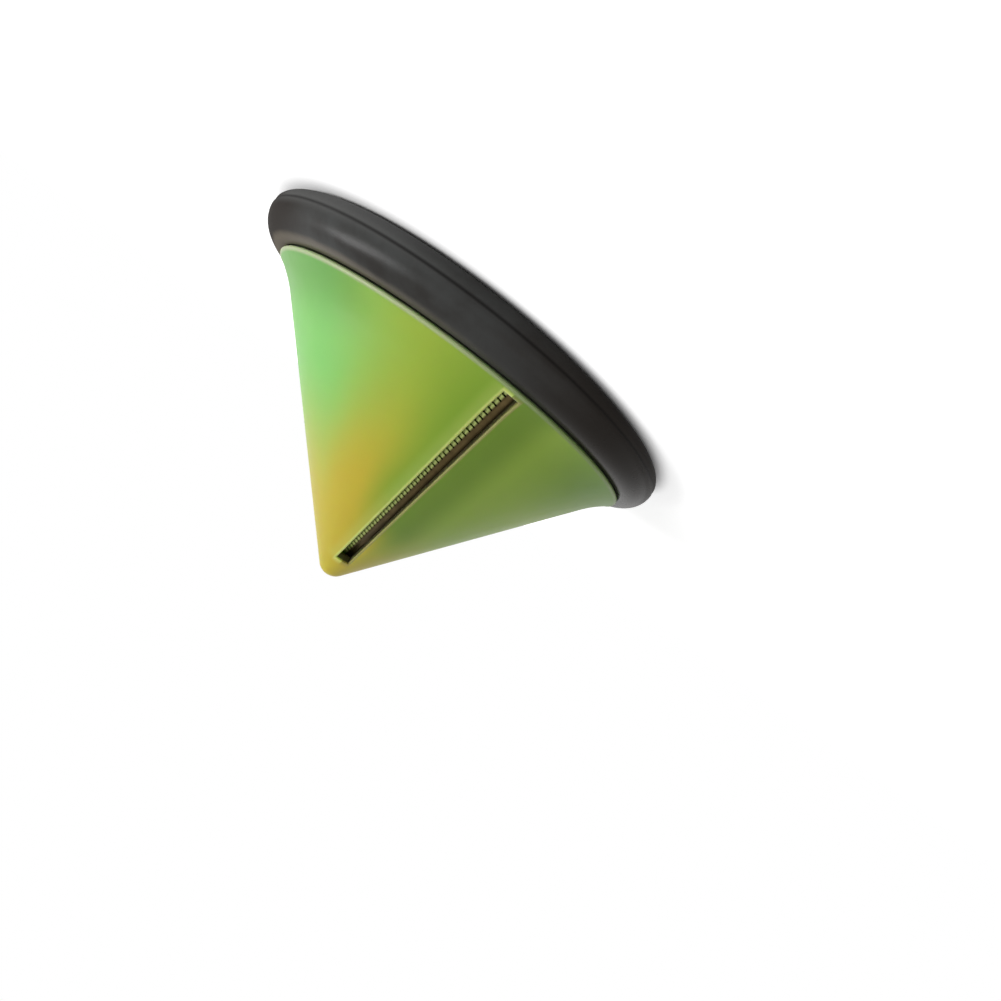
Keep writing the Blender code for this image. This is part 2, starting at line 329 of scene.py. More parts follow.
@dataclass(frozen=True)
class Form:
    """Sizes that the funnel, the ring, the blade and the rivets have in common, in metres."""

    rim_radius: float = 0.0525
    rim_stand: float = 0.0054
    rim_height: float = 0.0080
    rim_mouth_share: float = 0.35
    rim_nose_share: float = 0.62
    lip_bead: float = 0.0004
    grip_lip: float = 0.0012
    half_angle: float = 39.0
    flare_radius: float = 0.026
    flare_turn: float = 16.0
    nose_radius: float = 0.0040
    wall: float = 0.0020
    flange_cover: float = 0.0039
    flange_thickness: float = 0.0020
    slot_top: float = 0.0110
    slot_web: float = 0.0009
    slot_width: float = 0.0030
    blade_stand: float = 0.0006
    blade_thickness: float = 0.0006
    blade_lap: float = 0.0004
    blade_back_top: float = 0.0052
    blade_back_mouth: float = 0.0085
    edge_setback: float = 0.0004
    gap: float = 0.0003

    @property
    def sin(self) -> float:
        """Sine of the cone's half angle."""
        return math.sin(math.radians(self.half_angle))

    @property
    def cos(self) -> float:
        """Cosine of the cone's half angle."""
        return math.cos(math.radians(self.half_angle))

    @property
    def lip_radius(self) -> float:
        """Outer radius of the lip line under the ring."""
        return self.rim_radius - self.rim_stand

    @property
    def lip_base(self) -> float:
        """Height of the lip's underside, just clear of the ring."""
        return self.rim_height + self.gap

    @property
    def flare_end(self) -> Pair:
        """Point of the section where the flare runs into the lip."""
        return self.lip_radius - self.lip_bead, self.lip_base + 2 * self.lip_bead

    @property
    def flare_centre(self) -> Pair:
        """Centre of the flare's arc in the section.

        Returns:
            The centre, as (radius, height).
        """
        turned = math.radians(self.half_angle + self.flare_turn)
        radius, height = self.flare_end
        return (radius + self.flare_radius * math.cos(turned),
                height + self.flare_radius * math.sin(turned))

    @property
    def flare_start(self) -> Pair:
        """Point of the section where the straight cone runs into the flare."""
        radius, height = self.flare_centre
        return radius - self.flare_radius * self.cos, height - self.flare_radius * self.sin

    @property
    def apex(self) -> float:
        """Height of the cone's sharp apex, which the rounded nose stops short of."""
        radius, height = self.flare_start
        return height + radius * self.cos / self.sin

    @property
    def collar_radius(self) -> float:
        """Outer radius of the collar that goes down inside the ring."""
        return self.lip_radius - 2 * self.lip_bead

    @property
    def mouth_radius(self) -> float:
        """Inner radius of the open mouth."""
        return self.collar_radius - self.wall

    @property
    def flange_radius(self) -> float:
        """Outer radius of the flange that the ring is moulded over."""
        return self.rim_radius - self.flange_cover

    @property
    def flange_low(self) -> float:
        """Height of the flange's underside."""
        return (self.rim_height - self.flange_thickness) / 2

    @property
    def flare_from(self) -> float:
        """Distance down the slope from the apex to where the flare starts."""
        return self.flare_start[0] / self.sin

    @property
    def slot_mouth(self) -> float:
        """Distance down the slope from the apex to the slot's lower end."""
        reach = self.flare_radius * math.sin(math.radians(self.flare_turn))
        return self.flare_from + reach - self.slot_web

    @property
    def blade_top(self) -> float:
        """Distance down the slope to the blade's upper end."""
        return self.slot_top - self.blade_lap

    @property
    def blade_mouth(self) -> float:
        """Distance down the slope to the blade's lower end."""
        return self.slot_mouth + self.blade_lap

    @property
    def blade_outer(self) -> float:
        """Height of the blade's outer face over the slope plane, below zero."""
        return -(self.wall + self.blade_stand)

    @property
    def blade_inner(self) -> float:
        """Height of the blade's inner face over the slope plane, below zero."""
        return self.blade_outer - self.blade_thickness

    @property
    def seat_face(self) -> float:
        """Height of the face that the blade is riveted to."""
        return self.blade_outer + self.gap

    @property
    def edge_x(self) -> float:
        """Place of the tooth tips across the slot."""
        return self.slot_width / 2 - self.edge_setback

    def back_edge(self, down: float) -> float:
        """Distance of the blade's back edge from the slot's middle line, at a place down the slope."""
        share = (down - self.blade_top) / (self.blade_mouth - self.blade_top)
        return self.blade_back_top + (self.blade_back_mouth - self.blade_back_top) * share

    def surface(self, across: float, down: float) -> float:
        """Height of the funnel's outer face over the slope plane.

        Args:
            across: distance from the slot's middle line.
            down: distance down the slope from the sharp apex.

        Returns:
            The height: below zero where the cone curves away, above it in the flare.
        """
        past = max(0.0, down - self.flare_from)
        return past ** 2 / (2 * self.flare_radius) - across ** 2 * self.cos / (2 * down * self.sin)

    def lay(self, obj: bpy.types.Object) -> bpy.types.Object:
        """Carry a piece from the flat drawing of the slope to its place on the cone.

        The flat drawing has x across the slot, -y down the slope from the apex and z out of the wall.

        Args:
            obj: the piece, modelled in the flat drawing.

        Returns:
            The same piece.
        """
        obj.location = (0.0, 0.0, self.apex)
        obj.rotation_euler = (math.pi / 2 - math.radians(self.half_angle), 0.0, 0.0)
        Bench.settle(obj)
        return obj


class Sheet:
    """A material's node sheet, with short ways to add and join nodes."""

    def __init__(self, name: str) -> None:
        """Start a new material with one Principled shader.

        Args:
            name: the material's name.
        """
        self.material = bpy.data.materials.new(name)
        self.material.use_nodes = True
        self.tree = self.material.node_tree
        self.shader = self.tree.nodes["Principled BSDF"]
        self.output = self.tree.nodes["Material Output"]
        self.place = self.node("ShaderNodeTexCoord").outputs["Object"]

    def node(self, kind: str, **sockets: Value) -> bpy.types.Node:
        """Add a node and fill its sockets, each from a number, a colour or another node's output.

        Args:
            kind: the node's type name.
            sockets: values by socket name, with _ for a space, or by number with a leading i.

        Returns:
            The node.
        """
        made = self.tree.nodes.new(kind)
        for key, value in sockets.items():
            socket = made.inputs[int(key[1:])] if key[1:].isdigit() else made.inputs[key.replace("_", " ")]
            self.set(socket, value)
        return made

    def set(self, socket: Socket, value: Value) -> None:
        """Give a socket a value, or join it to another node's output.

        Args:
            socket: the socket to fill.
            value: a number, a colour or another node's output.
        """
        if isinstance(value, bpy.types.NodeSocket):
            self.tree.links.new(value, socket)
        elif isinstance(value, tuple) and len(value) == 3 and socket.type == "RGBA":
            socket.default_value = (*value, 1.0)
        else:
            socket.default_value = value

    def math(self, work: str, first: Value, second: Value = 0.0, third: Value = 0.0) -> Socket:
        """Work out a number from up to three others.

        Args:
            work: the Math node's operation.
            first: the first number.
            second: the second number.
            third: the third number.

        Returns:
            The result's socket.
        """
        made = self.node("ShaderNodeMath", i0=first, i1=second, i2=third)
        made.operation = work
        return made.outputs[0]

    def both(self, *shares: Value) -> Socket:
        """Multiply shares, so that the result is full only where all of them are."""
        return functools.reduce(lambda first, second: self.math("MULTIPLY", first, second), shares)

    def band(self, value: Value, low: float, high: float, start: float = 0.0, end: float = 1.0) -> Socket:
        """Turn a number's range into another range, eased at its ends and held beyond them.

        Args:
            value: the number to read.
            low: where the change starts.
            high: where it ends.
            start: the result at low.
            end: the result at high.

        Returns:
            The result's socket.
        """
        made = self.node("ShaderNodeMapRange", i0=value, i1=low, i2=high, i3=start, i4=end)
        made.interpolation_type = "SMOOTHSTEP"
        made.clamp = True
        return made.outputs[0]

    def mix(self, share: Value, first: Value, second: Value) -> Socket:
        """Mix two colours.

        Args:
            share: how much of the second colour shows.
            first: the first colour.
            second: the second colour.

        Returns:
            The mixed colour's socket.
        """
        made = self.tree.nodes.new("ShaderNodeMix")
        made.data_type = "RGBA"
        for number, value in ((0, share), (6, first), (7, second)):
            self.set(made.inputs[number], value)
        return made.outputs[2]

    def noise(self, place: Socket, scale: float, detail: float = 2.0, rough: float = 0.5) -> Socket:
        """Cloudy noise between 0 and 1, with its scale in turns per metre."""
        made = self.node("ShaderNodeTexNoise", Vector=place, Scale=scale, Detail=detail, Roughness=rough)
        return made.outputs["Fac"]

    def stretched(self, scale: Point, place: Optional[Socket] = None, location: Point = (0, 0, 0),
                  rotation: Point = (0, 0, 0), kind: str = "POINT") -> Socket:
        """Coordinates that are moved, turned and stretched by a Mapping node.

        Args:
            scale: the stretch along each axis.
            place: the coordinates to change, or None for the object's own.
            location: the move.
            rotation: the turn, in radians.
            kind: the Mapping node's type.

        Returns:
            The changed coordinates' socket.
        """
        made = self.node("ShaderNodeMapping", Vector=place or self.place, Location=location,
                         Rotation=rotation, Scale=scale)
        made.vector_type = kind
        return made.outputs[0]

    def split(self, place: Socket) -> tuple[Socket, ...]:
        """The three parts of a vector."""
        return tuple(self.node("ShaderNodeSeparateXYZ", i0=place).outputs)

    def slope(self, form: Form) -> Socket:
        """Coordinates in the flat drawing of the slope: across the slot, up the slope and out."""
        return self.stretched((1, 1, 1), location=(0, 0, form.apex), kind="TEXTURE",
                              rotation=(math.pi / 2 - math.radians(form.half_angle), 0, 0))

    def bump(self, height: Socket, strength: float, distance: float, under: Optional[Socket] = None) -> Socket:
        """Relief from a height between 0 and 1.

        Args:
            height: the height.
            strength: how strongly it acts.
            distance: the relief's depth in metres.
            under: relief that this one lies over.

        Returns:
            The normal's socket.
        """
        made = self.node("ShaderNodeBump", Strength=strength, Distance=distance, Height=height)
        if under is not None:
            self.set(made.inputs["Normal"], under)
        return made.outputs[0]

    def finish(self, **sockets: Value) -> bpy.types.Material:
        """Fill the shader's sockets.

        Args:
            sockets: values by socket name, with _ for a space.

        Returns:
            The material.
        """
        for key, value in sockets.items():
            self.set(self.shader.inputs[key.replace("_", " ")], value)
        return self.material


@dataclass(frozen=True)
class FrostedPlastic:
    """Milky translucent green plastic: mint on the +X side, a painted straw glow towards the nose, and painted
    shade before the blade, by the rim and low towards the ring.

    A turn is in degrees from the slot's middle, positive towards +X, and a place is in metres. Each pair
    says where a tint starts and where it is full.
    """

    name: str = "frosted_green_plastic"
    mint: Colour = (0.190, 0.500, 0.112)
    mint_shade: Colour = (0.132, 0.350, 0.066)
    leaf: Colour = (0.310, 0.425, 0.046)
    painted_moss_shade: Colour = (0.210, 0.345, 0.029)
    sage: Colour = (0.235, 0.355, 0.042)
    painted_olive_shade: Colour = (0.140, 0.235, 0.022)
    painted_dusk_shade: Colour = (0.095, 0.210, 0.014)
    painted_straw_glow: Colour = (0.490, 0.380, 0.030)
    lip: Colour = (0.370, 0.430, 0.240)
    lip_shade: Colour = (0.160, 0.215, 0.080)
    near_lip_highlight: Colour = (0.600, 0.700, 0.200)
    far_lip_highlight: Colour = (0.230, 0.215, 0.075)
    slot_wall_shade: Colour = (0.050, 0.050, 0.016)
    gap_shade: Colour = (0.018, 0.026, 0.010)
    roughness: float = 0.40
    specular: float = 0.20
    sheen: float = 0.05
    glow: float = 0.55
    cloud_turn: float = 0.22
    front_turn: Pair = (-172.0, -95.0)
    shade_turn: Pair = (26.0, 44.0)
    shade_end: Pair = (175.0, 120.0)
    shade_height: Pair = (0.019, 0.010)
    leaf_turn: Pair = (54.0, 18.0)
    sage_turn: Pair = (1.5, -4.0)
    painted_straw_glow_height: Pair = (0.012, 0.039)
    painted_straw_glow_lifts: tuple[tuple[Pair, float], ...] = (
        ((25.0, 50.0), 0.009), ((60.0, 150.0), 0.015), ((6.0, -20.0), 0.024))
    painted_moss_shade_turn: Pair = (24.0, 5.0)
    painted_moss_shade_end: Pair = (-8.0, 2.0)
    painted_moss_shade_height: Pair = (0.054, 0.031)
    painted_olive_shade_across: Pair = (-0.012, -0.005)
    painted_olive_shade_height: Pair = (0.052, 0.040)
    painted_dusk_shade_turn: Pair = (-12.0, -40.0)
    painted_dusk_shade_end: Pair = (-140.0, -80.0)
    painted_dusk_shade_height: Pair = (0.026, 0.008)
    lip_glow: Pair = (0.0034, 0.0008)
    near_line: Pair = (0.00085, 0.00040)
    far_line: Pair = (0.00060, 0.00040)
    wall_depth: Pair = (-0.00025, -0.00070)
    lip_light: Pair = (-0.016, 0.022)

    def make(self, form: Form) -> bpy.types.Material:
        """Build the material.

        Args:
            form: the shared sizes, which place the slot and the lip line.

        Returns:
            The material.
        """
        sheet = Sheet(self.name)
        relief = sheet.bump(sheet.noise(sheet.place, 3600.0, 2.0, 0.6), 0.10, 0.00004)
        relief = sheet.bump(sheet.noise(sheet.place, 140.0, 1.0), 0.22, 0.00010, relief)
        gloss = sheet.math("MULTIPLY_ADD", sheet.noise(sheet.place, 260.0, 3.0), 0.12, self.roughness - 0.06)
        colour = self.edges(sheet, form, self.body(sheet, form))
        return sheet.finish(Base_Color=colour, Roughness=gloss, IOR=1.5, Specular_IOR_Level=self.specular,
                            Normal=relief, Subsurface_Weight=self.glow, Subsurface_Radius=(0.6, 1.0, 0.4),
                            Subsurface_Scale=0.004, Sheen_Weight=self.sheen, Sheen_Roughness=0.35)

    def body(self, sheet: Sheet, form: Form) -> Socket:
        """Colour of the wall, which drifts with the turn from the slot and with the height, with painted shade
        and a painted straw glow.

        Args:
            sheet: the material's node sheet.
            form: the shared sizes.

        Returns:
            The colour's socket.
        """
        x, y, z = sheet.split(sheet.place)
        across, _, _ = sheet.split(sheet.slope(form))
        clouds = sheet.math("SUBTRACT", sheet.noise(sheet.place, 38.0, 2.0), 0.5)
        turn = sheet.math("ARCTAN2", x, sheet.math("MULTIPLY", y, -1.0))
        clouds = sheet.both(clouds, sheet.band(y, 6 * MM, -6 * MM, 0.0, self.cloud_turn))
        turn = sheet.math("ADD", clouds, turn)

        def sector(ends: Pair, full: float = 1.0) -> Socket:
            """Rise from nothing to full between two turns from the slot."""
            return sheet.band(turn, math.radians(ends[0]), math.radians(ends[1]), 0.0, full)

        # Every tint fades out before the back, where the turn jumps from one side to the other.
        front = sector(self.front_turn)
        # Painted shade: mint_shade darkens the wall low by the rim on the +X side.
        shaded = sheet.both(sector(self.shade_turn), sector(self.shade_end), sheet.band(z, *self.shade_height))
        colour = sheet.mix(shaded, self.mint, self.mint_shade)
        colour = sheet.mix(sheet.both(sector(self.leaf_turn), front), colour, self.leaf)
        colour = sheet.mix(sheet.both(sector(self.sage_turn), front), colour, self.sage)
        # Painted warm glow: the wall turns straw-coloured towards the nose, starting higher on some turns.
        lifts = [sector(ends, lift) for ends, lift in self.painted_straw_glow_lifts]
        lift = functools.reduce(lambda total, more: sheet.math("ADD", total, more), lifts)
        height = sheet.math("SUBTRACT", z, lift)
        colour = sheet.mix(sheet.band(height, *self.painted_straw_glow_height, 0.0, 0.95), colour, self.painted_straw_glow)
        # Painted shade: the wall darkens beside the slot on the +X side, towards the nose.
        low = sheet.both(sector(self.painted_moss_shade_turn), sector(self.painted_moss_shade_end), sheet.band(z, *self.painted_moss_shade_height))
        colour = sheet.mix(low, colour, self.painted_moss_shade)
        # Painted shade of the blade and its seat behind the wall, beside the slot on the -X side.
        beside = sheet.both(sheet.band(across, *self.painted_olive_shade_across), sheet.band(across, 0.5 * MM, -0.5 * MM))
        facing = sheet.both(sheet.band(y, 5 * MM, -5 * MM), sheet.band(z, *self.painted_olive_shade_height))
        colour = sheet.mix(sheet.both(beside, facing), colour, self.painted_olive_shade)
        # Painted shade: the -X side darkens low towards the ring.
        painted_dusk_shade = sheet.both(sector(self.painted_dusk_shade_turn), sector(self.painted_dusk_shade_end),
                          sheet.band(z, *self.painted_dusk_shade_height, 0.0, 0.85))
        return sheet.mix(painted_dusk_shade, colour, self.painted_dusk_shade)

    def edges(self, sheet: Sheet, form: Form, colour: Socket) -> Socket:
        """Painted highlights along the slot's lips and the rim's bead, painted shade on the slot's walls and
        in the gap under the lip, over the wall's colour.

        Args:
            sheet: the material's node sheet.
            form: the shared sizes, which place the slot and the lip line.
            colour: the wall's colour.

        Returns:
            The colour's socket.
        """
        x, y, z = sheet.split(sheet.place)
        across, up, out = sheet.split(sheet.slope(form))
        half = form.slot_width / 2
        front = sheet.band(y, 0.5 * MM, -0.5 * MM)
        along = sheet.both(sheet.band(up, -form.slot_top + 2 * MM, -form.slot_top - MM),
                           sheet.band(up, -form.slot_mouth - 1.2 * MM, -form.slot_mouth), front)

        def line(side: int, ends: Pair, share: float, inner: float) -> Socket:
            """Share of a line along one lip, between two distances from the slot's wall."""
            outer = sheet.band(across, side * (half + ends[0]), side * (half + ends[1]), 0.0, share)
            return sheet.both(along, sheet.both(outer, sheet.band(across, 0.0, side * inner)))

        # Painted highlights: a soft glow and a bright line along the near lip, a tan line along the far lip.
        colour = sheet.mix(line(1, self.lip_glow, 0.20, half), colour, self.near_lip_highlight)
        colour = sheet.mix(line(1, self.near_line, 0.9, 0.1 * MM), colour, self.near_lip_highlight)
        colour = sheet.mix(line(-1, self.far_line, 0.9, 0.1 * MM), colour, self.far_lip_highlight)
        # Painted shade on the slot's side walls.
        wall = sheet.both(sheet.band(out, *self.wall_depth, 0.0, 0.9),
                          sheet.band(sheet.math("ABSOLUTE", across), half + 0.10 * MM, half + 0.03 * MM))
        wall = sheet.both(wall, sheet.both(front, sheet.band(out, -4 * MM, -3 * MM)))
        wall = sheet.both(wall, sheet.band(up, -form.slot_top + 0.4 * MM, -form.slot_top + 0.1 * MM))
        colour = sheet.mix(wall, colour, self.slot_wall_shade)
        # Painted highlight along the rim's bead, pale towards +X and in painted shade towards -X.
        height = form.lip_base + 2 * form.lip_bead
        pale = sheet.mix(sheet.band(x, *self.lip_light), self.lip_shade, self.lip)
        colour = sheet.mix(sheet.band(z, height + 0.20 * MM, height - 0.1 * MM, 0.0, 0.9), colour, pale)
        # Painted shade in the gap between the lip and the ring.
        gap = sheet.band(z, form.lip_base - 0.05 * MM, form.lip_base - 0.30 * MM)
        return sheet.mix(gap, colour, self.gap_shade)


@dataclass(frozen=True)
class SoftRubber:
    """Charcoal soft-touch rubber with a fine matt skin: rubbed wear with a painted highlight on the +X side, a
    painted highlight band over the crease, a painted warm reflection by the lip and painted shade in the
    crease.

    Each pair of places, in metres along X or Z, says where a change starts and where it is full.
    """

    name: str = "soft_black_rubber"
    base: Colour = (0.0165, 0.0130, 0.0105)
    worn_and_highlight: Colour = (0.0530, 0.0550, 0.0540)
    highlight_band: Colour = (0.0850, 0.0850, 0.0830)
    warm_edge_reflection: Colour = (0.1350, 0.1150, 0.0900)
    crease_shade: Colour = (0.0060, 0.0050, 0.0045)
    roughness: float = 0.30
    specular: float = 0.065
    wear_and_highlight_from: Pair = (-0.018, 0.026)
    wear_and_highlight_to: Pair = (0.048, 0.037)
    highlight_band_height: Pair = (0.0016, -0.0004)
    highlight_band_from: Pair = (0.012, 0.036)
    highlight_band_to: Pair = (0.051, 0.046)
    warm_edge_height: Pair = (-0.00035, 0.00020)
    warm_edge_from: Pair = (0.0, 0.040)
    matt_from: Pair = (0.036, 0.048)
    groove_reach: float = 0.0005

    def make(self, form: Form) -> bpy.types.Material:
        """Build the material.

        Args:
            form: the shared sizes, which place the ring's crease.

        Returns:
            The material.
        """
        sheet = Sheet(self.name)
        x, _, z = sheet.split(sheet.place)
        crease = form.rim_height * (1.0 - form.rim_nose_share)
        clouds = sheet.noise(sheet.place, 90.0, 4.0, 0.6)
        streaks = sheet.noise(sheet.stretched((30, 30, 220)), 1.0, 3.0)
        # Rubbed wear, held to the +X side of the ring, where it also stands as a painted highlight.
        wear_and_highlight_share = sheet.band(sheet.math("ADD", clouds, streaks), 0.70, 1.25, 0.25, 1.0)
        held = sheet.both(sheet.band(x, *self.wear_and_highlight_from, 0.10, 1.0), sheet.band(x, *self.wear_and_highlight_to))
        wear_and_highlight_share = sheet.both(wear_and_highlight_share, held)
        colour = sheet.mix(wear_and_highlight_share, self.base, self.worn_and_highlight)
        # Painted highlight: a light band along the ring just above the crease, on the +X side.
        low, high = (crease + reach for reach in self.highlight_band_height)
        length = sheet.both(sheet.band(x, *self.highlight_band_from), sheet.band(x, *self.highlight_band_to))
        highlight_band_share = sheet.both(sheet.band(z, low, high, 0.0, 0.9), length)
        colour = sheet.mix(highlight_band_share, colour, self.highlight_band)
        # Painted warm reflection: a warm grey band along the ring's top edge by the lip, stronger towards +X.
        height = sheet.math("MULTIPLY_ADD", clouds, 0.5 * MM, z)
        low, high = (form.rim_height + reach for reach in self.warm_edge_height)
        warm_edge_share = sheet.both(sheet.band(height, low, high), sheet.band(x, *self.warm_edge_from, 0.0, 0.8))
        colour = sheet.mix(warm_edge_share, colour, self.warm_edge_reflection)
        # Painted shade: the crease is darkened along its line.
        groove = sheet.math("ABSOLUTE", sheet.math("SUBTRACT", z, crease))
        colour = sheet.mix(sheet.band(groove, self.groove_reach, 0.0, 0.0, 0.7), colour, self.crease_shade)
        relief = sheet.bump(sheet.noise(sheet.place, 5200.0, 2.0, 0.6), 0.22, 0.00005)
        relief = sheet.bump(clouds, 0.20, 0.00012, relief)
        gloss = sheet.math("MULTIPLY_ADD", wear_and_highlight_share, 0.06, self.roughness - 0.03)
        below = sheet.band(z, crease + self.groove_reach, crease - self.groove_reach, 0.0, 0.12)
        gloss = sheet.math("ADD", gloss, below)
        gloss = sheet.math("ADD", gloss, sheet.band(x, *self.matt_from, 0.0, 0.40))
        return sheet.finish(Base_Color=colour, Roughness=gloss, Normal=relief,
                            Specular_IOR_Level=self.specular)


@dataclass(frozen=True)
class BladeSteel:
    """Ground stainless steel: teeth in a painted bright green reflection, an outer flat in a painted dark
    reflection and a plain brushed inner face.
    """

    name: str = "ground_blade_steel"
    flat: Colour = (0.066, 0.047, 0.020)
    teeth: Colour = (0.470, 0.550, 0.190)
    inner: Colour = (0.560, 0.550, 0.530)
    roughness: float = 0.30

    def make(self, form: Form, tooth_depth: float) -> bpy.types.Material:
        """Build the material.

        Args:
            form: the shared sizes, which place the blade's edge.
            tooth_depth: how deep the gullets between the teeth are.

        Returns:
            The material.
        """
        sheet = Sheet(self.name)
        drawing = sheet.slope(form)
        across, _, out = sheet.split(drawing)
        root = form.edge_x - tooth_depth
        ground = sheet.band(across, root + 0.10 * MM, root + 0.60 * MM)
        lengthwise = sheet.noise(sheet.stretched((9000, 160, 9000), drawing), 1.0, 3.0)
        crosswise = sheet.noise(sheet.stretched((300, 14000, 300), drawing), 1.0, 2.0)
        blotch = sheet.noise(drawing, 420.0, 3.0)
        # Painted reflections: the outer flat is a dark reflection, blotched and streaked, and the ground teeth
        # a bright green one.
        light, dark = (tuple(level * c for c in self.flat) for level in (1.5, 0.6))
        flat_dark_reflection = sheet.mix(sheet.band(blotch, 0.35, 0.75), self.flat, light)
        colour = sheet.mix(ground, flat_dark_reflection, self.teeth)
        colour = sheet.mix(sheet.band(lengthwise, 0.3, 0.8, 0.0, 0.25), colour, dark)
        inside = sheet.band(out, form.blade_inner + 0.02 * MM, form.blade_inner + 0.005 * MM)
        colour = sheet.mix(inside, colour, self.inner)
        brushing = sheet.node("ShaderNodeMix", i0=ground, i2=lengthwise, i3=crosswise).outputs[0]
        gloss = sheet.math("MULTIPLY_ADD", brushing, 0.16, self.roughness - 0.08)
        return sheet.finish(Base_Color=colour, Metallic=1.0, Roughness=gloss,
                            Normal=sheet.bump(brushing, 0.25, 0.00002))


@dataclass(frozen=True)
class RivetSteel:
    """Plain stainless steel with fine turning marks about each rivet's own middle."""

    name: str = "turned_rivet_steel"
    base: Colour = (0.60, 0.59, 0.57)
    dark: Colour = (0.30, 0.29, 0.28)
    roughness: float = 0.32

    def make(self, form: Form) -> bpy.types.Material:
        """Build the material.

        Args:
            form: the shared sizes, which turn the pattern with the slope.

        Returns:
            The material.
        """
        sheet = Sheet(self.name)
        drawing = sheet.slope(form)
        marks = sheet.noise(sheet.stretched((2600, 2600, 9000), drawing), 1.0, 3.0)
        stain = sheet.noise(drawing, 900.0, 2.0)
        colour = sheet.mix(sheet.band(stain, 0.4, 0.8), self.base, self.dark)
        gloss = sheet.math("MULTIPLY_ADD", marks, 0.2, self.roughness - 0.1)
        return sheet.finish(Base_Color=colour, Metallic=1.0, Roughness=gloss,
                            Normal=sheet.bump(marks, 0.2, 0.00002))


